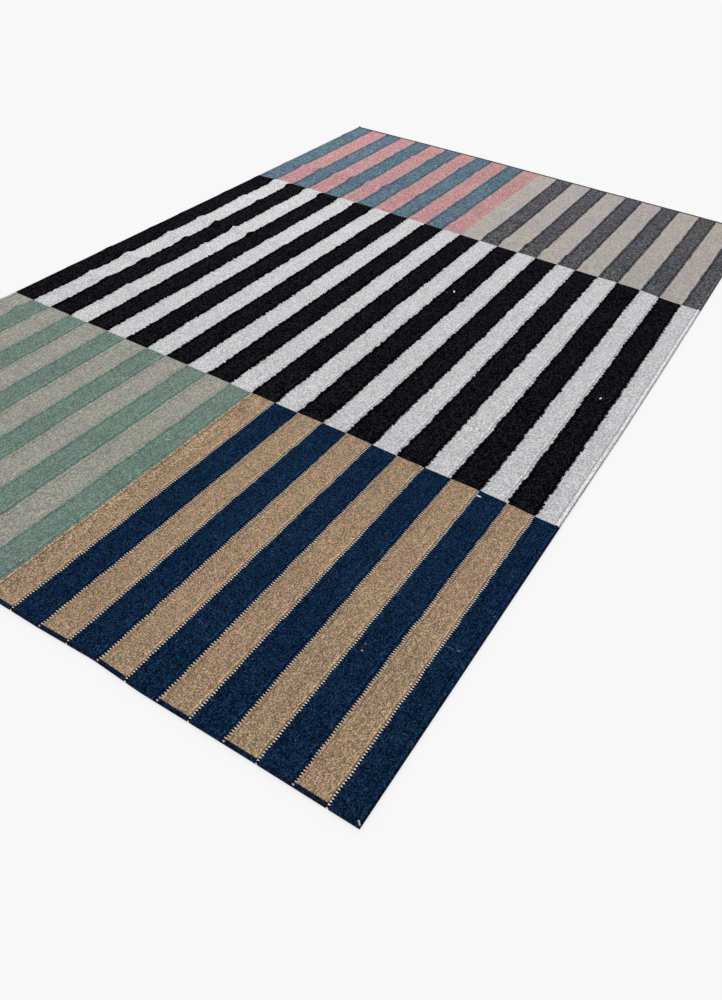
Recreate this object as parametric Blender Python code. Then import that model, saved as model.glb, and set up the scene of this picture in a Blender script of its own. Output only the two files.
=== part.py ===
"""Striped wool flatweave rug, lying flat on the floor, 5 by 8 feet.

One woven cloth: a thin field, a corded selvedge along both long sides and a turned-under hem at
both short ends. Soft creases from folding cross it, most of them at its left side.

The origin is the middle of the underside. +X runs across the width to the right selvedge, +Y along
the warps to the far end, +Z up. Places on the cloth are given as across (from the left selvedge)
and along (from the near end).
"""
import bpy
import numpy as np

# Driving dimensions, in metres
WIDTH = 1.524
LENGTH = 2.438
STRIPES = 24
FIELD_THICK = 0.0045
SELVEDGE_THICK = 0.0058
SELVEDGE_WIDE = 0.0080
GROOVE_THICK = 0.0040
GROOVE_IN = 0.0100
HEM_THICK = 0.0062
HEM_WIDE = 0.0120
EASE = 0.0040
RIM_THICK = 0.0022
RIM_LIFT = 0.0014
RIM_WIDE = 0.0014
ROW_GAP = 0.1
LEAST_GAP = 0.008
SHARP_DEGREES = 50

# Each crease is a soft ridge that runs across the cloth, is highest at the middle of its reach and
# fades out at both ends. slant is how far it drifts along for each metre across.
# Columns: along, from_across, to_across, height, half_width, slant
CREASES = (
    (0.684, -0.130, 0.170, 0.0075, 0.036, 0.00),
    (0.932, -0.060, 0.340, 0.0048, 0.030, 0.02),
    (1.072, -0.160, 0.290, 0.0070, 0.032, 0.00),
    (1.252, -0.050, 0.260, 0.0060, 0.027, 0.00),
    (1.392, -0.080, 0.400, 0.0068, 0.028, 0.01),
    (1.600, -0.140, 0.270, 0.0052, 0.034, 0.02),
    (1.770, -0.140, 0.540, 0.0064, 0.030, 0.02),
    (1.943, -0.220, 0.680, 0.0060, 0.034, 0.06),
    (2.262, 0.180, 0.700, 0.0046, 0.028, 0.05),
    (2.330, -0.130, 0.110, 0.0050, 0.030, 0.00),
    (1.842, 0.700, 1.400, 0.0056, 0.034, 0.01),
)

# How far the long sides stray from straight lines: the cloth draws in towards the far right corner.
# Columns: along, left_stray, right_stray
SIDE_STRAY = (
    (0.000, 0.0000, 0.0000),
    (1.100, 0.0000, 0.0000),
    (1.400, 0.0000, -0.0025),
    (1.700, -0.0005, -0.0064),
    (2.000, -0.0014, -0.0110),
    (LENGTH, -0.0035, -0.0150),
)

# How far the short ends stray from straight lines
# Columns: across, near_stray, far_stray
END_STRAY = (
    (0.000, 0.0000, -0.0080),
    (0.120, 0.0000, -0.0052),
    (0.320, 0.0000, -0.0015),
    (0.570, 0.0000, 0.0025),
    (0.900, 0.0002, -0.0003),
    (1.020, 0.0035, -0.0010),
    (1.120, -0.0011, -0.0008),
    (1.320, 0.0000, 0.0000),
    (WIDTH, 0.0000, -0.0030),
)

# Steps in from an edge that shape its rim, its thick band and the ease down to the field
SELVEDGE_STEPS = (0.0, RIM_WIDE, 0.5 * SELVEDGE_WIDE, SELVEDGE_WIDE, GROOVE_IN, GROOVE_IN + EASE)
HEM_STEPS = (0.0, RIM_WIDE, 0.5 * HEM_WIDE, HEM_WIDE, HEM_WIDE + EASE)
CREASE_STEPS = (-1.0, -0.7, -0.35, 0.0, 0.35, 0.7, 1.0)

WOOL_COLOR = (0.22, 0.24, 0.27, 1.0)
WOOL_ROUGHNESS = 0.92


def columns_of(table):
    """The columns of a table, as arrays."""
    return np.array(table).T


def centred(places):
    """Places moved so that the middle of their range is at zero."""
    return places - 0.5 * (places.min() + places.max())


def stations(marks, longest_gap):
    """Sorted marks, with even steps put in wherever two lie further apart than longest_gap."""
    marks = sorted(marks)
    places = [marks[0]]
    for start, end in zip(marks, marks[1:]):
        steps = max(1, int(np.ceil((end - start) / longest_gap - 1e-6)))
        places += [start + (end - start) * step / steps for step in range(1, steps + 1)]
    return np.array(places)


def spaced(marks, least_gap):
    """Sorted marks without those that lie closer than least_gap to the one before."""
    kept = []
    for mark in sorted(marks):
        if not kept or mark - kept[-1] >= least_gap:
            kept.append(mark)
    return kept


def columns_across():
    """Places across the cloth: both selvedges' steps, and the stripe joins."""
    marks = list(SELVEDGE_STEPS)
    marks += [WIDTH - step for step in SELVEDGE_STEPS]
    marks += [join * WIDTH / STRIPES for join in range(1, STRIPES)]
    return np.array(sorted(marks))


def rows_along():
    """Places along the cloth: both hems' steps, and a few rows over each crease."""
    crests = []
    for along, _, _, _, half_width, _ in CREASES:
        crests += [along + step * half_width for step in CREASE_STEPS]
    ends = list(HEM_STEPS)
    ends += [LENGTH - step for step in HEM_STEPS]
    return stations(ends + spaced(crests, LEAST_GAP), ROW_GAP)


def crease_height(across, along):
    """Lift of the cloth off the floor: a raised cosine over each crease, faded at its ends."""
    lift = np.zeros_like(across)
    for middle, start, end, height, half_width, slant in CREASES:
        away = (along - middle - slant * across) / half_width
        reach = 2 * (across - start) / (end - start) - 1
        ridge = 0.5 * (1 + np.cos(np.pi * np.clip(away, -1, 1)))
        fade = 0.5 * (1 + np.cos(np.pi * np.clip(reach, -1, 1)))
        lift = np.maximum(lift, height * ridge * np.sqrt(fade))
    return lift


def cloth_thickness(across, along):
    """Thickness from how far in a point lies: rim, selvedge cord and groove, or hem, then field."""
    from_side = np.minimum(across, WIDTH - across)
    from_end = np.minimum(along, LENGTH - along)
    cord = (SELVEDGE_THICK, SELVEDGE_THICK, SELVEDGE_THICK, GROOVE_THICK, FIELD_THICK)
    hem = (HEM_THICK, HEM_THICK, HEM_THICK, FIELD_THICK)
    thick = np.maximum(np.interp(from_side, SELVEDGE_STEPS[1:], cord),
                       np.interp(from_end, HEM_STEPS[1:], hem))
    at_rim = np.minimum(from_side, from_end) < 0.5 * RIM_WIDE
    return np.where(at_rim, RIM_THICK, thick), at_rim


def make_wool():
    """One matte wool for the whole cloth, near the mean of its stripes' colours."""
    wool = bpy.data.materials.new("wool")
    wool.use_nodes = True
    shader = wool.node_tree.nodes["Principled BSDF"]
    shader.inputs["Base Color"].default_value = WOOL_COLOR
    shader.inputs["Roughness"].default_value = WOOL_ROUGHNESS
    shader.inputs["Metallic"].default_value = 0.0
    return wool


def make_rug():
    """The underside as a sheet of quads, thickened upwards by a Solidify modifier."""
    across, along = np.meshgrid(columns_across(), rows_along())
    rows, columns = across.shape
    thick, at_rim = cloth_thickness(across, along)

    side = columns_of(SIDE_STRAY)
    end = columns_of(END_STRAY)
    left = np.interp(along, side[0], side[1])
    right = np.interp(along, side[0], side[2])
    near = np.interp(across, end[0], end[1])
    far = np.interp(across, end[0], end[2])
    x = centred(across + left + (right - left) * across / WIDTH)
    y = centred(along + near + (far - near) * along / LENGTH)
    z = crease_height(across, along) + np.where(at_rim, RIM_LIFT, 0.0)
    points = np.stack([x, y, z], axis=-1).reshape(-1, 3)

    corner = (np.arange(rows - 1)[:, None] * columns + np.arange(columns - 1)).ravel()
    quads = np.stack([corner, corner + 1, corner + columns + 1, corner + columns], axis=-1)

    mesh = bpy.data.meshes.new("rug")
    mesh.from_pydata(points.tolist(), [], quads.tolist())
    mesh.materials.append(make_wool())
    mesh.update()
    rug = bpy.data.objects.new("rug", mesh)
    bpy.context.scene.collection.objects.link(rug)

    share = rug.vertex_groups.new(name="thickness")
    for point, value in enumerate((thick / HEM_THICK).ravel().tolist()):
        share.add([point], value, "REPLACE")
    solid = rug.modifiers.new("cloth thickness", "SOLIDIFY")
    solid.thickness = HEM_THICK
    solid.offset = 1.0
    solid.vertex_group = share.name
    mesh.shade_smooth()
    mesh.set_sharp_from_angle(angle=np.radians(SHARP_DEGREES))
    return rug


def main():
    for old in list(bpy.data.objects):
        bpy.data.objects.remove(old, do_unlink=True)
    make_rug()


main()
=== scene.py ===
import math

import bpy
import numpy as np
from bpy.props import FloatProperty, FloatVectorProperty, IntProperty, PointerProperty
from bpy.types import Operator, Panel, PropertyGroup
from mathutils import Matrix, Vector


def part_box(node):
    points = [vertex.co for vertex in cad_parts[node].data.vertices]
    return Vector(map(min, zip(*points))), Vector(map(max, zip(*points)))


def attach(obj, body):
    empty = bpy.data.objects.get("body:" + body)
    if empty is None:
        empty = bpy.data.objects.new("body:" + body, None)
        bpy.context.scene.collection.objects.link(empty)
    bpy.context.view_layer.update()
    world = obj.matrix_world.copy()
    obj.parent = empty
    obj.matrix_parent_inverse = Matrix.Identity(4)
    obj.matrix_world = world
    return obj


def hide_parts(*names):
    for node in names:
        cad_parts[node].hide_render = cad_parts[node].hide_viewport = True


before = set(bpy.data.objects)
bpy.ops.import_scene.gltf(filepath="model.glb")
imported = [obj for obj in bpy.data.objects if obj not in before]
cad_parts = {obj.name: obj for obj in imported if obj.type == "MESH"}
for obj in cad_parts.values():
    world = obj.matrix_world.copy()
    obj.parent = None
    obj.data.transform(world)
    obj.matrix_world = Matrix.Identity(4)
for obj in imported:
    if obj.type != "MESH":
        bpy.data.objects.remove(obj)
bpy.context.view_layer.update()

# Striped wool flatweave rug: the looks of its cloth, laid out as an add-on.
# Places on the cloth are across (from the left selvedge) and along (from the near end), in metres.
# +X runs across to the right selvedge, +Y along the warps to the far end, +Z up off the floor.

bl_info = {
    "name": "Striped Wool Flatweave Rug",
    "version": (1, 0, 0),
    "blender": (4, 5, 0),
    "location": "3D View > Sidebar > Rug",
    "description": "Weaves a striped wool rug with corded sides, hemmed ends and fold creases",
    "category": "Object",
}

RUG_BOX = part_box("rug")
NODE = "rug"
BODY = "root"
UV_MAP = "OFBake"
MM = 0.001

# Each crease is a soft ridge across the cloth, highest at the middle of its reach.
# Columns: along, from_across, to_across, height, half_width, slant
CREASES = (
    (0.684, -0.130, 0.170, 0.0075, 0.036, 0.00),
    (0.932, -0.060, 0.340, 0.0048, 0.030, 0.02),
    (1.072, -0.160, 0.290, 0.0070, 0.032, 0.00),
    (1.252, -0.050, 0.260, 0.0060, 0.027, 0.00),
    (1.392, -0.080, 0.400, 0.0068, 0.028, 0.01),
    (1.600, -0.140, 0.270, 0.0052, 0.034, 0.02),
    (1.770, -0.140, 0.540, 0.0064, 0.030, 0.02),
    (1.943, -0.220, 0.680, 0.0060, 0.034, 0.06),
    (2.262, 0.180, 0.700, 0.0046, 0.028, 0.05),
    (2.330, -0.130, 0.110, 0.0050, 0.030, 0.00),
    (1.842, 0.700, 1.400, 0.0056, 0.034, 0.01),
)

# How far the long sides stray from straight lines.
# Columns: along, left_stray, right_stray
SIDE_STRAY = (
    (0.000, 0.0000, 0.0000),
    (1.100, 0.0000, 0.0000),
    (1.400, 0.0000, -0.0025),
    (1.700, -0.0005, -0.0064),
    (2.000, -0.0014, -0.0110),
    (2.438, -0.0035, -0.0150),
)

# How far the short ends stray from straight lines.
# Columns: across, near_stray, far_stray
END_STRAY = (
    (0.000, 0.0000, -0.0080),
    (0.120, 0.0000, -0.0052),
    (0.320, 0.0000, -0.0015),
    (0.570, 0.0000, 0.0025),
    (0.900, 0.0002, -0.0003),
    (1.020, 0.0035, -0.0010),
    (1.120, -0.0011, -0.0008),
    (1.320, 0.0000, 0.0000),
    (1.524, 0.0000, -0.0030),
)

# Thickness of the cloth from its side inwards: the last warps' thin cord, a groove, the wide cord,
# a second groove, then the field. Columns: inset, thickness
SELVEDGE = (
    (0.0000, 0.0000),
    (0.0002, 0.0012),
    (0.0005, 0.0022),
    (0.0010, 0.0027),
    (0.0015, 0.0024),
    (0.0020, 0.0018),
    (0.0024, 0.0020),
    (0.0032, 0.0040),
    (0.0044, 0.0054),
    (0.0062, 0.0060),
    (0.0082, 0.0058),
    (0.0098, 0.0050),
    (0.0110, 0.0038),
    (0.0116, 0.0032),
    (0.0124, 0.0038),
    (0.0138, 0.0044),
    (0.0150, 0.0045),
)

# Thickness of the cloth from its end inwards: warp ends turned under. Columns: inset, thickness
HEM = (
    (0.0000, 0.0000),
    (0.0003, 0.0020),
    (0.0010, 0.0038),
    (0.0021, 0.0052),
    (0.0040, 0.0061),
    (0.0070, 0.0062),
    (0.0110, 0.0058),
    (0.0135, 0.0049),
    (0.0160, 0.0045),
)

# The wools: their sRGB colour, how much their lightness and hue vary, and how light their stray
# fibres are. Columns: name, shown_as, red, green, blue, grain, tint, fibre
WOOLS = (
    ("greige", "Greige", 0.621, 0.618, 0.583, 0.145, 0.12, 0.46),
    ("green", "Sage green", 0.445, 0.523, 0.487, 0.160, 0.16, 0.40),
    ("tan", "Tan", 0.634, 0.537, 0.437, 0.270, 0.13, 0.34),
    ("navy", "Navy", 0.0495, 0.1325, 0.226, 0.440, 0.30, 0.42),
    ("black", "Black", 0.053, 0.050, 0.068, 0.530, 0.05, 0.32),
    ("white", "White", 0.804, 0.802, 0.813, 0.140, 0.04, 0.62),
    ("teal", "Dusty teal", 0.350, 0.424, 0.476, 0.300, 0.34, 0.34),
    ("pink", "Pink", 0.713, 0.542, 0.543, 0.190, 0.22, 0.48),
    ("beige", "Beige", 0.692, 0.665, 0.646, 0.130, 0.16, 0.50),
    ("grey", "Grey", 0.311, 0.311, 0.327, 0.430, 0.30, 0.46),
    ("edge", "Near edge", 0.064, 0.124, 0.212, 0.300, 0.36, 0.42),
    ("slate", "Far edge", 0.240, 0.270, 0.295, 0.200, 0.30, 0.42),
)

# How two wools meet at a join, in each band or half of one. The teeth are odd_depth long at an odd
# join and even_depth at an even one. Odd joins lie widen to the right and even joins widen to the
# left, and all of them also lie shift to the right. swing is their share of the common swing. The
# painted light and shade lines beside a join have the strengths odd_before to even_after, and lie
# odd_lines or even_lines further right than elsewhere.
MEETING_COLUMNS = ("odd_depth", "even_depth", "widen", "shift", "swing", "odd_before", "odd_after",
                   "even_before", "even_after", "odd_lines", "even_lines")
MEETINGS = {
    "near_left": (0.0012, 0.0010, 0.0002, -0.0003, 0.72, 0.8, 3.0, 2.0, 2.4, -0.0012, -0.0008),
    "near_right": (0.0048, 0.0050, -0.0014, 0.0003, 0.66, 1.5, 0.6, 1.2, 1.4, 0.0032, -0.0005),
    "middle": (0.0030, 0.0020, 0.0031, 0.0003, 1.00, 0.0, 1.0, 1.6, 0.0, 0.0, 0.0010),
    "far": (0.0012, 0.0012, 0.0011, 0.0013, 0.72, 0.0, 0.0, 0.0, 0.0, 0.0, 0.0),
}

# Specks, threads and knots of other wool caught in the weave. turn is in degrees from across towards
# along, ring is how much darker the wool just round it is.
# Columns: across, along, long, wide, turn, red, green, blue, cover, ring
CAUGHT = (
    (1.436, 1.205, 0.009, 0.0045, 75, 0.95, 0.95, 0.97, 0.90, 0.00),
    (0.921, 1.456, 0.011, 0.0045, 120, 0.97, 0.97, 0.98, 0.95, 0.00),
    (0.907, 1.441, 0.006, 0.0050, 60, 0.55, 0.55, 0.56, 0.35, 0.00),
    (1.353, 0.722, 0.012, 0.0040, -5, 0.98, 0.97, 0.96, 0.95, 0.40),
    (1.409, 0.740, 0.007, 0.0045, 60, 0.93, 0.86, 0.86, 0.80, 0.25),
    (0.722, 0.516, 0.011, 0.0035, 15, 0.80, 0.81, 0.79, 0.60, 0.14),
    (0.734, 0.499, 0.012, 0.0035, 40, 0.80, 0.81, 0.79, 0.60, 0.14),
    (0.728, 0.508, 0.016, 0.0025, 120, 0.74, 0.77, 0.74, 0.40, 0.10),
    (1.365, 0.261, 0.005, 0.0044, 0, 0.70, 0.56, 0.62, 0.80, 0.60),
    (1.362, 0.276, 0.005, 0.0045, 0, 0.42, 0.42, 0.58, 0.60, 0.00),
    (1.250, 0.924, 0.012, 0.0065, -10, 0.99, 0.99, 0.99, 0.95, 0.45),
    (1.238, 0.933, 0.010, 0.0050, 100, 0.96, 0.96, 0.96, 0.60, 0.30),
    (1.245, 0.945, 0.013, 0.0050, 70, 0.96, 0.96, 0.96, 0.60, 0.30),
    (1.482, 0.349, 0.018, 0.0016, 5, 0.44, 0.52, 0.62, 0.55, 0.00),
    (1.497, 0.351, 0.006, 0.0028, 20, 0.52, 0.60, 0.68, 0.60, 0.00),
    (1.518, 0.007, 0.0035, 0.0030, 0, 0.97, 0.96, 0.96, 0.60, 0.00),
    (1.5205, 0.005, 0.0035, 0.0030, 0, 0.97, 0.96, 0.96, 0.60, 0.00),
)

# The sheet's grid: three columns at each join, close rows over each crease, wider steps elsewhere
COLUMN_GAP = 0.0155
ROW_GAP = 0.0150
CREASE_ROWS = 11
LEAST_ROW_GAP = 0.0030

# How far from a join the cloth rises and how high, how high it waves, and the share of the creases'
# height that is left at the left selvedge, with the way over which they reach it in full
JOIN_HALF = 0.0026
JOIN_RISE = 0.0004
WAVE_RISE = 0.0007
SIDE_LIFT = 0.25
SIDE_EASE = 0.045

# The block lines: how uneven they are from stripe to stripe, how far the near one falls from side to
# side, and where they droop. Columns: from_share, to_share, first_droop, last_droop
BLOCK_UNEVEN = 0.0016
NEAR_LINE_FALL = 0.0040
NEAR_LINE_DROOPS = ((0.90, 0.97, 0.0, 0.0040),)
FAR_LINE_DROOPS = ((0.02, 0.06, 0.0125, 0.0), (0.87, 0.95, 0.0, 0.0125))

# How the joins swing along the cloth, slowly to quickly.
# Columns: cells_per_join, cells_per_metre, depth, detail, swing
SWINGS = (
    (7.3, 5.0, 0.0, 1.0, 0.0040),
    (5.7, 22.0, 3.0, 2.0, 0.0080),
    (9.1, 72.0, 6.0, 1.0, 0.0030),
)

# How far the joins drift to the left about the middle band. The drift starts and ends over these
# places along, and grows over this share of the width.
DRIFT = 0.0030
DRIFT_STARTS = (0.75, 1.45)
DRIFT_ENDS = (1.75, 2.10)
DRIFT_GROWS = (0.25, 0.60)

# How much further left the last join lies, which leaves the last stripe its width
LAST_JOIN_BACK = 0.0050

# How far the joins jump every few picks, and how much of that in tan and navy
JUMP = 0.0038
JUMP_EVERY = 0.0066
TAN_JUMP_SHARE = 0.25

# How uneven the teeth's lengths are from join to join, and their depths, in general and in tan and
# navy, and how steep their sides are
TOOTH_UNEVEN = 0.08
DEPTH_UNEVEN = 1.3
TAN_DEPTH_UNEVEN = 0.5
TOOTH_STEEP = 1.6

# Soft noises over the cloth, with so many cells to a metre. depth is where in the noise they are read.
# Columns: cells_across, cells_along, depth, detail, roughness
NOISES = {
    "slub": (400.0, 420.0, 0.0, 2.0, 0.70),
    "patch": (50.0, 60.0, 5.0, 2.0, 0.50),
    "cloud": (4.0, 6.0, 8.0, 2.0, 0.50),
    "stain": (14.0, 12.0, 4.0, 2.0, 0.50),
    "pucker_shade": (24.0, 210.0, 9.0, 1.0, 0.50),
}

# Painted light and shade lines beside the warp that both wools turn round at a join, painted shade at
# the sides of the darker wools and painted light at those of the paler ones, and over which share of
# the width the lines before it fade in black and white. Columns: place, half_width, strength
LINES_BEFORE = ((-0.0094, 0.0021, 0.8), (-0.0054, 0.0025, -1.0))
LINES_AFTER = ((0.0038, 0.0024, 0.4), (0.0066, 0.0026, -0.9))
DARK_WOOL_SHADE_LINE = (0.0064, 0.0034, -2.0)
PALE_WOOL_LIGHT_LINE = (0.0052, 0.0028, 0.5)
LINES_FADE = (0.35, 0.80)

# Painted shade marks: a painted shade line in white beside its even joins, a painted shadow line
# along the near block line, and the painted shade of small puckers in white, with the share of the
# width over which the first and the last set in.
# Columns of a line: place, half_width, dark
WHITE_SHADE_LINE = (-0.0048, 0.0016, 0.30)
WHITE_SHADE_LINE_GROWS = (0.35, 0.65)
BLOCK_SHADOW_LINE = (-0.0014, 0.0018, 0.65)
PUCKER_RISES = (0.14, 0.26)
PUCKER_GROWS = (0.55, 0.80)
PUCKER_SHADE = 0.16

# How much the weave's own unevenness lightens and darkens a wool, and how much painted light on the
# ribs' tops and painted shade between them do, as shares of its grain
BEAD_TONE = 5.4
SLUB_TONE = 2.4
PATCH_TONE = 0.9
CLOUD_TONE = 0.8
PAINTED_RIB_SHADE = 1.1
RIB_TONE = 1.4
NEAR_LEFT_PAINTED_RIB_SHADE = 1.2
MEAN_TONE = 0.955

# The beads: how round their tops are, their mean height, how much finer they are spun in tan and navy,
# and how far they, the slubs and the patches rise, in millimetres
BEAD_ROUND = 0.7
MEAN_HEIGHT = 0.51
TAN_FINER = 1.5
BEAD_BUMP = 0.42
SLUB_BUMP = 0.50
PATCH_BUMP = 0.30

# The heather's hue: how much of it follows the patches and then the clouds, and how strong it is
PATCH_HUE = 0.78
CLOUD_HUE = 0.25
HUE_GAIN = 3.6

# Painted sheen on the lightest strands, and the cream of the stains in white
PAINTED_SHEEN_GROWS = 0.35
PAINTED_SHEEN = 0.025
PAINTED_SHEEN_COLOR = (0.36, 0.37, 0.40, 1.0)
STAIN_TINT = (0.98, 1.0, 0.945, 1.0)
STAIN_RISES = (0.02, 0.20)
STAIN_COVER = 0.8

# Stray fibres: places to a metre, their size as a share of a place, how few of the places have one,
# how light the patch is where they set in, and how much of the wool they cover
FIBRES_ACROSS = 210.0
FIBRES_ALONG = 170.0
FIBRE_HALF = 0.24
FIBRE_FROM = 0.975
FIBRE_PATCH = (-0.05, 0.10)
FIBRE_COVER = 0.50

# The long teeth of tan and navy: the painted highlight at the tan ones' tips, how much of it shows at
# even and at odd joins and at the least, and the painted shade in the gap beside the navy ones
TIP_HIGHLIGHT_COLOR = (0.92, 0.89, 0.86)
TIP_COVERS = (0.55, 0.92)
TIP_LEAST = 0.68
TIP_STARTS = (-0.0018, -0.0004)
GAP_ENDS = (0.0016, 0.0036)
GAP_SHADE = 0.88

# Painted light and shade of the selvedge, from the side inwards: a painted shade line beyond the thin
# cord, the wide cord between its two eases and how much painted light lightens it, and the painted
# shade of the groove. Columns of a line: place, half_width, dark
OUTER_SHADE_LINE = (0.0018, 0.0017, 0.50)
CORD_STARTS = (0.0025, 0.0040)
CORD_ENDS = (0.0095, 0.0112)
CORD_PAINTED_LIGHT = 0.32
GROOVE_SHADE_LINE = (0.0118, 0.0018, 0.42)

# How far the dark weave at the ends strays, and how rough all the wool is
EDGE_UNEVEN = 0.003
ROUGHNESS = 0.93

# The camera, from the photo's vanishing points: where its middle ray meets the floor, and its turns.
# Then the soft window light and the floor.
CAMERA_AIM = (0.4040, -0.6407, 0.0)
CAMERA_HEIGHT = 1.1064
CAMERA_DOWN = math.radians(41.66)
CAMERA_TURN = math.radians(29.21)
CAMERA_ROLL = math.radians(4.22)
WINDOW_PLACE = (-1.5, 1.3, 1.6)
WINDOW_SIZE = (2.0, 1.5)
WINDOW_LIT = "lit by the window"
FLOOR_HALF = 60.0
FLOOR_DROP = 0.0004


def columns_of(table):
    """The columns of a table, as arrays."""
    return np.array(table).T


def centred(places):
    """Places moved so that the middle of their range is at zero."""
    return places - 0.5 * (places.min() + places.max())


def linear(color):
    """An sRGB colour as the scene's linear colour, with full alpha."""
    low = [part / 12.92 if part <= 0.04045 else ((part + 0.055) / 1.055) ** 2.4 for part in color]
    return (*low, 1.0)


class Term:
    """A number that changes over a surface. Arithmetic on it adds Math nodes."""

    def __init__(self, graph, socket):
        self.graph = graph
        self.socket = socket

    def __add__(self, other):
        return self.graph.math("ADD", self, other)

    def __radd__(self, other):
        return self.graph.math("ADD", other, self)

    def __sub__(self, other):
        return self.graph.math("SUBTRACT", self, other)

    def __rsub__(self, other):
        return self.graph.math("SUBTRACT", other, self)

    def __mul__(self, other):
        return self.graph.math("MULTIPLY", self, other)

    def __rmul__(self, other):
        return self.graph.math("MULTIPLY", other, self)

    def __truediv__(self, other):
        return self.graph.math("DIVIDE", self, other)

    def __mod__(self, other):
        return self.graph.math("FLOORED_MODULO", self, other)

    def __gt__(self, other):
        return self.graph.math("GREATER_THAN", self, other)

    def __lt__(self, other):
        return self.graph.math("LESS_THAN", self, other)

    def __abs__(self):
        return self.graph.math("ABSOLUTE", self)


class Graph:
    """A material's node tree, and the few ways in which this rug's materials add nodes to it."""

    def __init__(self, name):
        self.material = bpy.data.materials.new(name)
        self.material.use_nodes = True
        self.tree = self.material.node_tree
        self.tree.nodes.clear()

    def node(self, kind, settings=None, sockets=None):
        """A node of one kind: its settings first, then the values or links of its sockets."""
        made = self.tree.nodes.new(kind)
        for name, value in (settings or {}).items():
            setattr(made, name, value)
        for key, value in (sockets or {}).items():
            value = value.socket if isinstance(value, Term) else value
            if isinstance(value, bpy.types.NodeSocket):
                self.tree.links.new(value, made.inputs[key])
            else:
                made.inputs[key].default_value = value
        return made

    def math(self, operation, *values):
        made = self.node("ShaderNodeMath", {"operation": operation}, dict(enumerate(values)))
        return Term(self, made.outputs[0])

    def floor(self, value):
        return self.math("FLOOR", value)

    def round(self, value):
        return self.math("ROUND", value)

    def fraction(self, value):
        return self.math("FRACT", value)

    def power_of_e(self, value):
        return self.math("EXPONENT", value)

    def least(self, value, other):
        return self.math("MINIMUM", value, other)

    def most(self, value, other):
        return self.math("MAXIMUM", value, other)

    def between(self, value, low, high):
        """The value held between two numbers."""
        return self.least(self.most(value, low), high)

    def ease(self, value, start, end, first=0.0, last=1.0):
        """A smooth step from first to last while the value goes from start to end."""
        made = self.node("ShaderNodeMapRange", {"interpolation_type": "SMOOTHSTEP"},
                         {0: value, 1: start, 2: end, 3: first, 4: last})
        return Term(self, made.outputs[0])

    def line(self, value, middle, half_width, height=1.0):
        """A soft line: height where the value is at the middle, 0 from half_width away."""
        return self.ease(abs(value - middle), 0.15 * half_width, half_width, height, 0.0)

    def pick(self, factor, low, high):
        """low where the factor is 0 and high where it is 1, for numbers."""
        return low + factor * (high - low)

    def blend(self, factor, low, high, way="MIX"):
        """Two colours mixed by a factor."""
        made = self.node("ShaderNodeMix", {"data_type": "RGBA", "blend_type": way},
                         {0: factor, 6: low, 7: high})
        return made.outputs[2]

    def place(self, x, y, z=0.0):
        """A vector of three numbers."""
        return self.node("ShaderNodeCombineXYZ", None, {0: x, 1: y, 2: z}).outputs[0]

    def parts(self, vector):
        """The three numbers of a vector."""
        split = self.node("ShaderNodeSeparateXYZ", None, {0: vector})
        return [Term(self, part) for part in split.outputs]

    def dim(self, color, gain):
        """A colour times a number."""
        return self.blend(1.0, color, self.place(gain, gain, gain), "MULTIPLY")

    def noise(self, place, detail=2.0, roughness=0.5):
        """Soft noise, one cell to each unit of the place: about -0.5 to 0.5, and in colour 0 to 1."""
        made = self.node("ShaderNodeTexNoise", {"noise_dimensions": "3D"},
                         {"Vector": place, "Scale": 1.0, "Detail": detail, "Roughness": roughness})
        return Term(self, made.outputs[0]) - 0.5, made.outputs[1]

    def chance(self, place):
        """An even random number from 0 to 1 for each separate place."""
        made = self.node("ShaderNodeTexWhiteNoise", {"noise_dimensions": "3D"}, {"Vector": place})
        return Term(self, made.outputs[0])

    def spots(self, place):
        """Distance from the middle of a random spot, one spot to a unit, and the spot's own number."""
        made = self.node("ShaderNodeTexVoronoi", {"voronoi_dimensions": "2D", "feature": "F1"},
                         {"Vector": place, "Scale": 1.0})
        return Term(self, made.outputs[0]), self.parts(made.outputs[1])[0]


class RugSizes(PropertyGroup):
    """Sizes of the cloth and of its weave"""
    width: FloatProperty(name="Width", description="Across the warps, side to side",
                         default=1.524, unit="LENGTH")
    length: FloatProperty(name="Length", description="Along the warps, end to end",
                          default=2.438, unit="LENGTH")
    stripes: IntProperty(name="Stripes", description="Lengthwise stripes across the width",
                         default=24)
    stripe: FloatProperty(name="Stripe", description="Width of a stripe, but for the first and last",
                          default=0.06394, unit="LENGTH")
    first_wider: FloatProperty(name="First wider", description="How much wider the first stripe is",
                               default=0.0045, unit="LENGTH")
    near_band: FloatProperty(name="Near band", description="Length of the near band of blocks",
                             default=0.7410, unit="LENGTH")
    far_band: FloatProperty(name="Far band start", description="Where the far band of blocks starts",
                            default=1.7968, unit="LENGTH")
    near_edge: FloatProperty(name="Near edge", description="Length of the dark weave at the near end",
                             default=0.0070, unit="LENGTH")
    far_edge: FloatProperty(name="Far edge", description="Length of the dark weave at the far end",
                            default=0.0120, unit="LENGTH")
    tooth: FloatProperty(name="Tooth", description="Length of a pair of dovetail teeth",
                         default=0.0055, unit="LENGTH")
    rib: FloatProperty(name="Rib", description="From one warp to the next, 13 to a stripe",
                       default=0.00492, unit="LENGTH")
    bead: FloatProperty(name="Bead", description="From one weft bead on a warp to the next",
                        default=0.00275, unit="LENGTH")
    crease_lift: FloatProperty(name="Crease lift", description="Share of the creases' full height",
                               default=1.0, min=0.0, max=1.5)


def color_property(label, color):
    """A wool's colour, shown and kept as sRGB."""
    return FloatVectorProperty(name=label, description=f"{label} wool, as sRGB", size=3,
                               default=color, min=0.0, max=1.0, subtype="COLOR_GAMMA")


class RugWools(PropertyGroup):
    """Colours of the wools"""
    __annotations__ = {name: color_property(label, color) for name, label, *color, _, _, _ in WOOLS}


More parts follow.
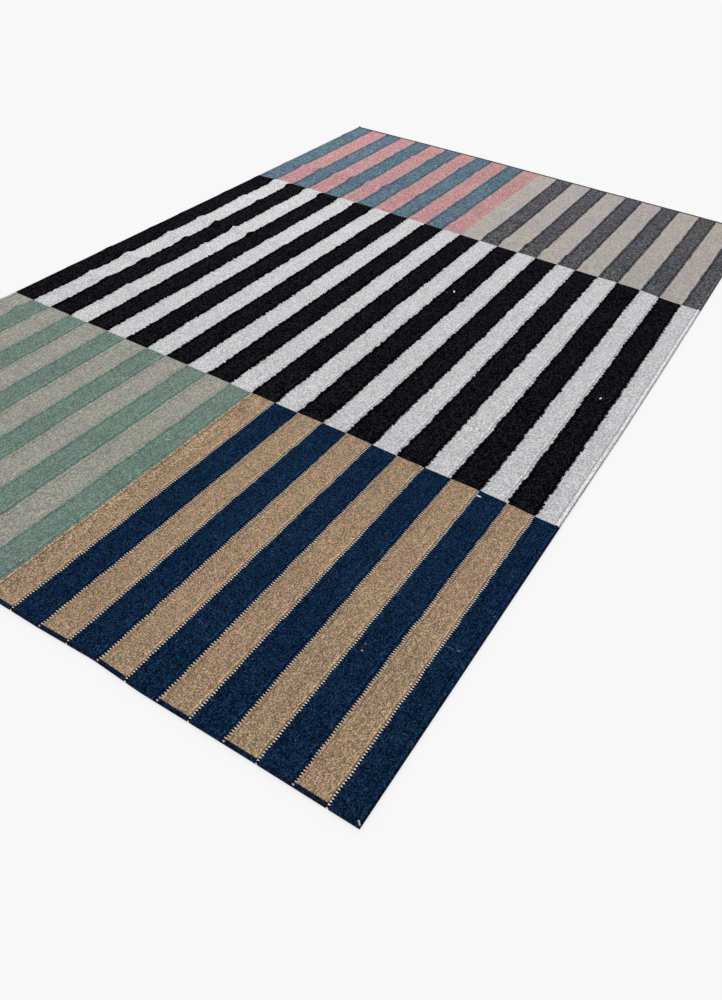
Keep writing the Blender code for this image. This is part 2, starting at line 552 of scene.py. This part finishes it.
class RugStage(PropertyGroup):
    """Light, floor and camera"""
    sky: FloatProperty(name="Sky", description="Strength of the even light from all round",
                       default=0.80, min=0.0)
    window: FloatProperty(name="Window", description="Power of the soft light from the far left",
                          default=24.0, min=0.0, unit="POWER")
    floor_glow: FloatProperty(name="Floor glow", description="Own light of the pale floor",
                              default=0.660, min=0.0)
    lens: FloatProperty(name="Lens", description="Focal length of the camera",
                        default=30.31, unit="CAMERA")


def stations(marks, longest_gap):
    """Sorted marks, with even steps put in wherever two lie further apart than longest_gap."""
    marks = sorted(set(marks))
    places = [marks[0]]
    for start, end in zip(marks, marks[1:]):
        steps = max(1, math.ceil((end - start) / longest_gap - MM))
        places += [start + (end - start) * step / steps for step in range(1, steps + 1)]
    return np.array(places)


def spaced(marks, least_gap):
    """Sorted marks without those that lie closer than least_gap to the one before."""
    kept = []
    for mark in sorted(marks):
        if not kept or mark - kept[-1] >= least_gap:
            kept.append(mark)
    return kept


def columns_across(sizes):
    """Places across the cloth: both selvedges' own steps, three at each stripe join, and between."""
    marks = [inset for inset, _ in SELVEDGE]
    marks += [sizes.width - inset for inset, _ in SELVEDGE]
    for join in range(1, sizes.stripes):
        middle = sizes.first_wider + join * sizes.stripe
        marks += [middle + side * JOIN_HALF for side in (-1, 0, 1)]
    return stations(marks, COLUMN_GAP)


def rows_along(sizes):
    """Places along the cloth: both hems' own steps, close rows over each crease, and between."""
    marks = [inset for inset, _ in HEM]
    marks += [sizes.length - inset for inset, _ in HEM]
    crests = []
    for along, _, _, _, half_width, _ in CREASES:
        crests += np.linspace(along - half_width, along + half_width, CREASE_ROWS).tolist()
    return stations(marks + spaced(crests, LEAST_ROW_GAP), ROW_GAP)


def crease_height(across, along):
    """Lift off the floor: a raised cosine over each crease, faded towards both ends of its reach, and
    low at the left selvedge, whose stiff cord holds the cloth down."""
    lift = np.zeros_like(across)
    for middle, start, end, height, half_width, slant in CREASES:
        away = (along - middle - slant * across) / half_width
        reach = 2 * (across - start) / (end - start) - 1
        ridge = 0.5 * (1 + np.cos(np.pi * np.clip(away, -1, 1)))
        fade = 0.5 * (1 + np.cos(np.pi * np.clip(reach, -1, 1)))
        lift = np.maximum(lift, height * ridge * np.sqrt(fade))
    return lift * np.interp(across, (0.0, SIDE_EASE), (SIDE_LIFT, 1.0))


def wave_height(across, along):
    """Faint unevenness of cloth that lies loose: two crossed sines and a slower one, never below 0."""
    fine = np.sin(31 * across + 5 * np.sin(3.1 * along)) * np.sin(23 * along + 4 * np.sin(2.3 * across))
    slow = np.sin(9 * across + 2.0) * np.sin(7 * along + 1.0)
    return WAVE_RISE * (0.5 + 0.3 * fine + 0.2 * slow)


def join_rise(sizes, across):
    """Extra thickness at each join, where both wefts turn round one warp: a raised cosine."""
    stripes = (across - sizes.first_wider) / sizes.stripe
    from_join = np.abs((stripes + 0.5) % 1 - 0.5) * sizes.stripe
    inside = (stripes > 0.5) & (stripes < sizes.stripes - 0.6)
    rise = 0.5 * (1 + np.cos(np.pi * np.clip(from_join / JOIN_HALF, 0, 1)))
    return JOIN_RISE * rise * inside


def plan_place(sizes, across, along):
    """Where a place on the cloth lies in plan. The stray of each side and end fades evenly to the
    other one's."""
    side = columns_of(SIDE_STRAY)
    end = columns_of(END_STRAY)
    left = np.interp(along, side[0], side[1])
    right = np.interp(along, side[0], side[2])
    near = np.interp(across, end[0], end[1])
    far = np.interp(across, end[0], end[2])
    x = across + left + (right - left) * across / sizes.width
    y = along + near + (far - near) * along / sizes.length
    middle = 0.5 * (RUG_BOX[0] + RUG_BOX[1])
    return middle.x + centred(x), middle.y + centred(y)


def cloth_grid(sizes):
    """The upper and the under surface of the cloth as grids of points, with across and along. The
    cord and the hem add up where they cross, but for their outermost steps, which stay thin."""
    across, along = np.meshgrid(columns_across(sizes), rows_along(sizes))
    from_side = np.minimum(across, sizes.width - across)
    from_end = np.minimum(along, sizes.length - along)
    inset, selvedge = columns_of(SELVEDGE)
    depth, hem = columns_of(HEM)
    field = selvedge[-1]
    side_thick = np.interp(from_side, inset, selvedge)
    end_thick = np.interp(from_end, depth, hem)
    thick = np.minimum(side_thick * np.maximum(end_thick / field, 1),
                       end_thick * np.maximum(side_thick / field, 1))
    thick = np.where(from_end < depth[2], np.minimum(thick, end_thick), thick)
    thick = np.where(from_side < inset[3], np.minimum(thick, side_thick), thick)
    middle = np.maximum(0.5 * thick, 0.5 * field)
    lift = sizes.crease_lift * crease_height(across, along) + wave_height(across, along)
    x, y = plan_place(sizes, across, along)
    low = RUG_BOX[0].z + lift
    top = np.stack([x, y, low + middle + 0.5 * thick + join_rise(sizes, across)], axis=-1)
    under = np.stack([x, y, low + middle - 0.5 * thick], axis=-1)
    return across, along, top, under


def closed_sheet(top, under):
    """Points and quads of a sheet whose upper and under grids share their outermost points.

    The under grid's inner points follow the upper grid's points. Quads run anticlockwise as seen
    from outside: from above on the upper grid, from below on the under grid."""
    rows, columns = top.shape[:2]
    upper = np.arange(rows * columns).reshape(rows, columns)
    lower = upper.copy()
    inner = (rows - 2) * (columns - 2)
    lower[1:-1, 1:-1] = rows * columns + np.arange(inner).reshape(rows - 2, columns - 2)
    points = np.concatenate([top.reshape(-1, 3), under[1:-1, 1:-1].reshape(-1, 3)])

    def quads(index):
        return np.stack([index[:-1, :-1], index[:-1, 1:], index[1:, 1:], index[1:, :-1]], axis=-1)

    faces = np.concatenate([quads(upper).reshape(-1, 4), quads(lower)[..., ::-1].reshape(-1, 4)])
    return points, faces, upper, lower


def fill_mesh(name, points, faces, uv):
    """A new mesh object at the origin, from arrays of points, quads and each point's map place."""
    mesh = bpy.data.meshes.new(name)
    mesh.vertices.add(len(points))
    mesh.vertices.foreach_set("co", points.astype(np.float32).ravel())
    mesh.loops.add(faces.size)
    mesh.loops.foreach_set("vertex_index", faces.astype(np.int32).ravel())
    mesh.polygons.add(len(faces))
    mesh.polygons.foreach_set("loop_start", np.arange(len(faces), dtype=np.int32) * faces.shape[1])
    mesh.update(calc_edges=True)
    mesh.validate()
    layer = mesh.uv_layers.new(name=UV_MAP)
    layer.uv.foreach_set("vector", uv[faces.ravel()].astype(np.float32).ravel())
    mesh.shade_smooth()
    piece = bpy.data.objects.new(name, mesh)
    bpy.context.scene.collection.objects.link(piece)
    return piece


class ClothPattern:
    """Where each wool shows: the stripes, bands and joins as terms of across and along."""

    def __init__(self, graph, sizes):
        self.graph = graph
        layer = graph.node("ShaderNodeUVMap", {"uv_map": UV_MAP})
        self.share, v, _ = graph.parts(layer.outputs[0])
        self.across = self.share * sizes.width
        self.along = v * sizes.length
        self.lay_bands(sizes)
        self.lay_joins(sizes)
        self.lay_teeth(sizes)

    def unevenness(self, name):
        """One of the soft noises over the cloth: its number and its colour."""
        across, along, depth, detail, roughness = NOISES[name]
        place = self.graph.place(self.across * across, self.along * along, depth)
        return self.graph.noise(place, detail, roughness)

    def drooped(self, line, droops):
        """A line across the cloth, lowered by each of its droops."""
        for start, end, first, last in droops:
            line = line - self.graph.ease(self.share, start, end, first, last)
        return line

    def lay_bands(self, sizes):
        """The two block lines, each drooping at its ends and a pick or so uneven in each stripe."""
        graph = self.graph
        stripes = (self.across - sizes.first_wider) / sizes.stripe
        self.lane = graph.round(stripes)
        uneven = (graph.chance(graph.place(graph.floor(stripes), 3.0)) - 0.5) * BLOCK_UNEVEN
        near_line = self.drooped(sizes.near_band - self.share * NEAR_LINE_FALL, NEAR_LINE_DROOPS)
        far_line = self.drooped(sizes.far_band, FAR_LINE_DROOPS)
        self.past_near = self.along - near_line - uneven
        self.past_far = self.along - far_line + uneven
        self.beyond_near = self.past_near > 0.0
        self.beyond_far = self.past_far > 0.0
        self.middle = self.beyond_near * (1.0 - self.beyond_far)
        near = 1.0 - self.beyond_near
        right = self.lane > sizes.stripes / 2 + 0.5
        self.near_left = near * (1.0 - right)
        self.near_right = near * right

    def by_band(self, column):
        """A number of the table of meetings, picked by band and half."""
        index = MEETING_COLUMNS.index(column)
        values = {name: row[index] for name, row in MEETINGS.items()}
        return (self.near_left * values["near_left"] + self.near_right * values["near_right"]
                + self.middle * values["middle"] + self.beyond_far * values["far"])

    def by_join(self, column):
        """A number of the table of meetings that differs between odd and even joins."""
        return self.graph.pick(self.odd, self.by_band("even_" + column), self.by_band("odd_" + column))

    def lay_joins(self, sizes):
        """Distances from the nearest join: from_line to the warp that it turns round, and from_join
        with the jumps that it makes every few picks. A join swings with the hand of the weaver."""
        graph, lane, along = self.graph, self.lane, self.along
        sway = 0.0
        for lane_step, cells, depth, detail, swing in SWINGS:
            place = graph.place(lane * lane_step, along * cells, depth)
            sway = sway + graph.noise(place, detail)[0] * swing
        drift = graph.ease(along, *DRIFT_STARTS) * graph.ease(along, *DRIFT_ENDS, 1.0, 0.0)
        drift = drift * graph.ease(self.share, *DRIFT_GROWS, 0.0, DRIFT)
        last = graph.ease(lane, sizes.stripes - 2.6, sizes.stripes - 1.0, 0.0, LAST_JOIN_BACK)
        self.odd = lane % 2.0
        self.inner = (lane > 0.5) * (lane < sizes.stripes - 0.5)
        rightward = self.odd * 2.0 - 1.0
        offset = rightward * self.by_band("widen") + self.by_band("shift") - drift - last
        jump = graph.chance(graph.place(lane, graph.floor(along / JUMP_EVERY), 4.0)) - 0.5
        jump = jump * JUMP * (self.middle + self.near_right * TAN_JUMP_SHARE)
        sway = sway * self.by_band("swing")
        self.from_line = self.across - sizes.first_wider - lane * sizes.stripe - offset + sway
        self.from_join = self.from_line + jump
        self.past_join = self.from_join * rightward

    def lay_teeth(self, sizes):
        """The teeth, which swing a join by half their depth, and the number of the stripe."""
        graph, lane = self.graph, self.lane
        stretch = graph.chance(graph.place(lane, 9.0)) * TOOTH_UNEVEN
        row = self.along / sizes.tooth * (1.0 - 0.5 * TOOTH_UNEVEN + stretch)
        self.luck = graph.chance(graph.place(lane, graph.floor(row)))
        uneven = graph.pick(self.near_right, DEPTH_UNEVEN, TAN_DEPTH_UNEVEN)
        uneven = 1.0 + (self.luck - 0.5) * uneven
        peak = 1.0 - abs(graph.fraction(row) - 0.5) * 4.0
        tooth = graph.between(peak * TOOTH_STEEP, -1.0, 1.0)
        toothed = self.from_join + tooth * self.by_join("depth") * uneven * 0.5
        number = graph.between(lane - 1.0 + (toothed > 0.0), 0.0, sizes.stripes - 1.0)
        self.second = number % 2.0
        self.right_half = number > sizes.stripes / 2 - 0.5

    def by_wool(self, values):
        """One value of each wool, a colour or a vector, picked by band, half and stripe."""
        blend = self.graph.blend
        near = blend(self.second, blend(self.right_half, values["greige"], values["tan"]),
                     blend(self.right_half, values["green"], values["navy"]))
        near = blend(self.near_edge, near, values["edge"])
        middle = blend(self.second, values["black"], values["white"])
        far = blend(self.second, blend(self.right_half, values["teal"], values["beige"]),
                    blend(self.right_half, values["pink"], values["grey"]))
        far = blend(self.far_edge, far, values["slate"])
        return blend(self.beyond_far, blend(self.beyond_near, near, middle), far)

    def lay_edges(self, sizes, uneven):
        """The dark weave at both ends, whose inner side is uneven."""
        self.near_edge = self.along < sizes.near_edge + uneven
        self.far_edge = self.along > sizes.length - sizes.far_edge + uneven


def weft_beads(graph, pattern, sizes):
    """Height of the weave, 0 to 1, a number for each part of a bead and one for each rib: ribs over the
    warps, each a row of round-topped weft beads, with those of neighbouring ribs half a bead apart.
    Tan and navy are spun of finer strands, so their beads have more parts."""
    rib = pattern.across / sizes.rib
    rib_number = graph.floor(rib)
    over = graph.fraction(rib) * 2.0 - 1.0
    row = pattern.along / sizes.bead + (rib_number % 2.0) * 0.5
    past = graph.fraction(row) * 2.0 - 1.0
    height = (1.0 - over * over) * (1.0 - past * past * BEAD_ROUND)
    finer = graph.pick(pattern.near_right, 1.0, TAN_FINER)
    bead = graph.chance(graph.place(graph.floor(rib * 2.0 * finer), graph.floor(row * finer))) - 0.5
    rib_tone = graph.noise(graph.place(rib_number * 3.7, pattern.along * 8.0), 1.0)[0]
    return height, bead, rib_tone


def painted_join_shading(graph, pattern):
    """Painted light and shade beside a join, where the cloth rises over its doubled warp: a painted
    light line and a shade line before it, and a weak light one and a shade one after it. Black and the
    darker wool of the far band have a painted shade line at both their sides, and the paler wool there
    has a painted light one. In black and white the lines before a join fade to the left, where black's
    own lines are stronger."""
    away = pattern.from_line - pattern.by_join("lines")
    before = sum(graph.line(away, *line) for line in LINES_BEFORE)
    after = sum(graph.line(away, *line) for line in LINES_AFTER)
    fade = graph.pick(pattern.middle, 1.0, graph.ease(pattern.share, *LINES_FADE))
    lines = before * pattern.by_join("before") * fade + after * pattern.by_join("after")
    apart = abs(pattern.from_line)
    darker = graph.pick(pattern.right_half, 1.0 - pattern.second, pattern.second)
    dark_wool = pattern.beyond_far * darker + pattern.middle * (1.0 - pattern.second)
    lines = lines + graph.line(apart, *DARK_WOOL_SHADE_LINE) * dark_wool * (2.0 - fade)
    lines = lines + graph.line(apart, *PALE_WOOL_LIGHT_LINE) * pattern.beyond_far * (1.0 - darker)
    return lines * pattern.inner


def heathered(graph, color, tint, slub_color, patch_color, cloud_color):
    """The colour with a share, tint, of it times a hue that changes from strand to strand and slowly."""
    hue = graph.blend(PATCH_HUE, slub_color, patch_color)
    hue = graph.blend(CLOUD_HUE, hue, cloud_color)
    gain, base = (HUE_GAIN,) * 3, (1.0 - 0.5 * HUE_GAIN,) * 3
    hue = graph.node("ShaderNodeVectorMath", {"operation": "MULTIPLY_ADD"}, {0: hue, 1: gain, 2: base})
    return graph.blend(tint, color, graph.blend(1.0, color, hue.outputs[0], "MULTIPLY"))


def toned(graph, color, tone, grain):
    """The colour lightened or darkened by tone times grain, its lightest strands with a faint painted
    sheen.
    """
    color = graph.dim(color, graph.power_of_e(tone * grain) * MEAN_TONE)
    return graph.blend(graph.between(tone * PAINTED_SHEEN_GROWS, 0.0, 1.0) * PAINTED_SHEEN, color, PAINTED_SHEEN_COLOR)


def cream_stained(graph, pattern, color):
    """The colour with faint cream stains in the white stripes."""
    stain, _ = pattern.unevenness("stain")
    cover = graph.ease(stain, *STAIN_RISES, 0.0, STAIN_COVER) * pattern.middle * pattern.second
    return graph.blend(cover, color, graph.blend(1.0, color, STAIN_TINT, "MULTIPLY"))


def stray_fibres(graph, pattern, color, patch, fibre):
    """The colour with a few stray fibres of a light wool, mostly where the patches are light."""
    place = graph.place(pattern.across * FIBRES_ACROSS, pattern.along * FIBRES_ALONG)
    spot, number = graph.spots(place)
    stray = (spot < FIBRE_HALF) * (number > FIBRE_FROM) * graph.ease(patch, *FIBRE_PATCH)
    light = fibre * fibre
    return graph.blend(stray * FIBRE_COVER, color, graph.place(light * 0.9, light, light * 1.15))


def painted_tip_highlights(graph, pattern, color):
    """The colour with a painted highlight on the tips of the tan teeth, stronger on some of them."""
    tips = pattern.near_right * pattern.inner * graph.ease(pattern.past_join, *TIP_STARTS)
    tips = tips * (1.0 - pattern.second) * graph.between(TIP_LEAST + pattern.luck * 0.5, 0.0, 1.0)
    return graph.blend(tips * graph.pick(pattern.odd, *TIP_COVERS), color, linear(TIP_HIGHLIGHT_COLOR))


def painted_shade_marks(graph, pattern):
    """How dark the painted shade marks are, 0 to 1: painted shade in the gaps between navy teeth, a
    painted shade line in white before its even joins and the painted shade of small puckers in it to
    the right, and a painted shadow line where navy ends."""
    white = pattern.middle * pattern.second
    gap = pattern.near_right * pattern.inner * pattern.second
    gap = gap * graph.ease(pattern.past_join, *GAP_ENDS, GAP_SHADE, 0.0)
    line = graph.line(pattern.from_line, *WHITE_SHADE_LINE) * white * (1.0 - pattern.odd)
    line = line * graph.ease(pattern.share, *WHITE_SHADE_LINE_GROWS)
    block = graph.line(pattern.past_near, *BLOCK_SHADOW_LINE) * pattern.second * pattern.right_half
    pucker_shade, _ = pattern.unevenness("pucker_shade")
    pucker_shade = graph.ease(pucker_shade, *PUCKER_RISES, 0.0, PUCKER_SHADE) * white
    pucker_shade = pucker_shade * graph.ease(pattern.share, *PUCKER_GROWS)
    return graph.most(graph.most(gap, line), graph.most(block, pucker_shade))


def painted_selvedge_shading(graph, pattern, sizes):
    """How dark the painted shade in the selvedge's two grooves is, and where painted light lightens its
    wide cord, both 0 to 1.
    """
    side = graph.least(pattern.across, sizes.width - pattern.across)
    grooves = graph.most(graph.line(side, *GROOVE_SHADE_LINE), graph.line(side, *OUTER_SHADE_LINE))
    cord = graph.ease(side, *CORD_STARTS) * graph.ease(side, *CORD_ENDS, 1.0, 0.0)
    return grooves, cord


def caught_wool(graph, pattern, color):
    """The colour with each speck or thread of other wool over it: an ellipse with a soft rim."""
    for across, along, long, wide, turn, red, green, blue, cover, ring in CAUGHT:
        aside, ahead = pattern.across - across, pattern.along - along
        cosine, sine = math.cos(math.radians(turn)), math.sin(math.radians(turn))
        down = (aside * cosine + ahead * sine) * (2 / long)
        over = (ahead * cosine - aside * sine) * (2 / wide)
        away = down * down + over * over
        color = graph.dim(color, graph.ease(away, 1.0, 4.0, 1.0 - ring, 1.0))
        color = graph.blend(graph.ease(away, 0.5, 1.3, cover, 0.0), color, linear((red, green, blue)))
    return color


def wool_material(sizes, wools):
    """Weft-faced wool: striped colour with heather, stray fibres and teeth, painted light and shade in
    lines and marks, and a bead bump.
    """
    graph = Graph("wool_flatweave")
    pattern = ClothPattern(graph, sizes)
    height, bead, rib_tone = weft_beads(graph, pattern, sizes)
    slub, slub_color = pattern.unevenness("slub")
    patch, patch_color = pattern.unevenness("patch")
    cloud, cloud_color = pattern.unevenness("cloud")

    pattern.lay_edges(sizes, slub * EDGE_UNEVEN)
    color = pattern.by_wool({name: linear(getattr(wools, name)) for name, *_ in WOOLS})
    feel = pattern.by_wool({name: (*feel, 1.0) for name, _, _, _, _, *feel in WOOLS})
    grain, tint, fibre = graph.parts(feel)
    color = heathered(graph, color, tint, slub_color, patch_color, cloud_color)

    # Painted light on the ribs' tops and painted shade between them, and each rib's own tone
    ribs = (height - MEAN_HEIGHT) * (PAINTED_RIB_SHADE + pattern.near_left * NEAR_LEFT_PAINTED_RIB_SHADE)
    ribs = ribs + rib_tone * (RIB_TONE + pattern.near_left)
    tone = bead * BEAD_TONE + slub * SLUB_TONE + patch * PATCH_TONE + cloud * CLOUD_TONE
    # The tone also holds the painted light and shade beside the joins
    color = toned(graph, color, tone + ribs + painted_join_shading(graph, pattern), grain)
    color = cream_stained(graph, pattern, color)
    color = stray_fibres(graph, pattern, color, patch, fibre)
    color = painted_tip_highlights(graph, pattern, color)

    # Painted shade in the selvedge's grooves and painted light on its wide cord
    grooves, cord = painted_selvedge_shading(graph, pattern, sizes)
    # dark is painted shade: the shade marks and the selvedge's grooves
    dark = graph.most(painted_shade_marks(graph, pattern), grooves)
    # The painted shade darkens the colour, and the painted light on the wide cord lightens it
    color = graph.dim(color, (1.0 - dark) * (1.0 + cord * CORD_PAINTED_LIGHT))
    color = caught_wool(graph, pattern, color)

    bump = graph.node("ShaderNodeBump", None, {
        "Strength": 1.0, "Distance": MM,
        "Height": height * BEAD_BUMP + slub * SLUB_BUMP + patch * PATCH_BUMP})
    shader = graph.node("ShaderNodeBsdfPrincipled", None, {
        "Base Color": color, "Roughness": ROUGHNESS, "Specular IOR Level": 0.0,
        "Normal": bump.outputs[0]})
    graph.node("ShaderNodeOutputMaterial", None, {"Surface": shader.outputs[0]})
    return graph.material


class RUG_OT_weave_cloth(Operator):
    """Weave the rug's cloth: one closed sheet with its selvedges, hems, creases and wools"""
    bl_idname = "rug.weave_cloth"
    bl_label = "Weave cloth"

    def execute(self, context):
        sizes = context.scene.rug_sizes
        across, along, top, under = cloth_grid(sizes)
        points, faces, upper, lower = closed_sheet(top, under)
        uv = np.zeros((len(points), 2))
        place = np.stack([across / sizes.width, along / sizes.length], axis=-1)
        uv[upper] = place
        uv[lower] = place
        cloth = fill_mesh("wool_cloth", points, faces, uv)
        cloth.data.materials.append(wool_material(sizes, context.scene.rug_wools))
        window_lit().objects.link(cloth)
        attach(cloth, BODY)
        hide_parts(NODE)
        return {"FINISHED"}


def window_lit():
    """The collection of all that the window lights. The floor isn't in it, so the floor stays even."""
    return bpy.data.collections.get(WINDOW_LIT) or bpy.data.collections.new(WINDOW_LIT)


def camera_matrix():
    """Looks down by CAMERA_DOWN, turned from +Y towards -X by CAMERA_TURN, then rolled about its ray."""
    ahead = Vector((-math.sin(CAMERA_TURN) * math.cos(CAMERA_DOWN),
                    math.cos(CAMERA_TURN) * math.cos(CAMERA_DOWN), -math.sin(CAMERA_DOWN)))
    level = ahead.cross(Vector((0, 0, 1))).normalized()
    rise = level.cross(ahead)
    right = level * math.cos(CAMERA_ROLL) + rise * math.sin(CAMERA_ROLL)
    up = rise * math.cos(CAMERA_ROLL) - level * math.sin(CAMERA_ROLL)
    place = Vector(CAMERA_AIM) - ahead * (CAMERA_HEIGHT / math.sin(CAMERA_DOWN))
    turned = Matrix((right, up, -ahead)).transposed().to_4x4()
    return Matrix.Translation(place) @ turned


def floor_material(glow):
    """A plain pale floor that glows a little, so that it stays even."""
    graph = Graph("pale_floor")
    shader = graph.node("ShaderNodeBsdfPrincipled", None, {
        "Base Color": (0.35, 0.35, 0.35, 1.0), "Roughness": 1.0, "Specular IOR Level": 0.0,
        "Emission Color": (1.0, 1.0, 1.0, 1.0), "Emission Strength": glow})
    graph.node("ShaderNodeOutputMaterial", None, {"Surface": shader.outputs[0]})
    return graph.material


class RUG_OT_set_stage(Operator):
    """Set the plain pale floor, the soft light and the camera"""
    bl_idname = "rug.set_stage"
    bl_label = "Set stage"

    def execute(self, context):
        stage = context.scene.rug_stage
        corners = FLOOR_HALF * np.array([(-1, -1), (1, -1), (1, 1), (-1, 1)])
        points = np.column_stack([corners, np.full(4, -FLOOR_DROP)])
        floor = fill_mesh("floor", points, np.array([[0, 1, 2, 3]]), corners / FLOOR_HALF)
        floor.data.materials.append(floor_material(stage.floor_glow))

        world = bpy.data.worlds.new("pale_sky")
        world.use_nodes = True
        sky = world.node_tree.nodes["Background"]
        sky.inputs["Color"].default_value = (1.0, 1.0, 1.0, 1.0)
        sky.inputs["Strength"].default_value = stage.sky
        context.scene.world = world

        lamp = bpy.data.lights.new("window", "AREA")
        lamp.shape = "RECTANGLE"
        lamp.size, lamp.size_y = WINDOW_SIZE
        lamp.energy = stage.window
        window = bpy.data.objects.new("window", lamp)
        window.location = WINDOW_PLACE
        window.rotation_euler = (-window.location).to_track_quat("-Z", "Y").to_euler()
        window.light_linking.receiver_collection = window_lit()
        context.scene.collection.objects.link(window)

        camera_data = bpy.data.cameras.new("camera")
        camera_data.lens = stage.lens
        camera_data.sensor_width = 36.0
        camera = bpy.data.objects.new("camera", camera_data)
        camera.matrix_world = camera_matrix()
        context.scene.collection.objects.link(camera)
        context.scene.camera = camera
        context.scene.view_settings.view_transform = "Standard"
        return {"FINISHED"}


class RUG_PT_panel(Panel):
    """The rug's sizes, wools, stage and operators, in the sidebar"""
    bl_label = "Striped wool rug"
    bl_space_type = "VIEW_3D"
    bl_region_type = "UI"
    bl_category = "Rug"

    def draw(self, context):
        for group in (context.scene.rug_sizes, context.scene.rug_wools, context.scene.rug_stage):
            box = self.layout.box()
            for name in group.__annotations__:
                box.prop(group, name)
        for operator in OPERATORS:
            self.layout.operator(operator.bl_idname)


GROUPS = {"rug_sizes": RugSizes, "rug_wools": RugWools, "rug_stage": RugStage}
OPERATORS = (RUG_OT_set_stage, RUG_OT_weave_cloth)


def register():
    for kind in (*GROUPS.values(), *OPERATORS, RUG_PT_panel):
        bpy.utils.register_class(kind)
    for name, group in GROUPS.items():
        setattr(bpy.types.Scene, name, PointerProperty(type=group))


def unregister():
    for name in GROUPS:
        delattr(bpy.types.Scene, name)
    for kind in (RUG_PT_panel, *reversed(OPERATORS), *reversed(GROUPS.values())):
        bpy.utils.unregister_class(kind)


def main():
    register()
    bpy.ops.rug.set_stage()
    bpy.ops.rug.weave_cloth()


if __name__ == "__main__":
    main()
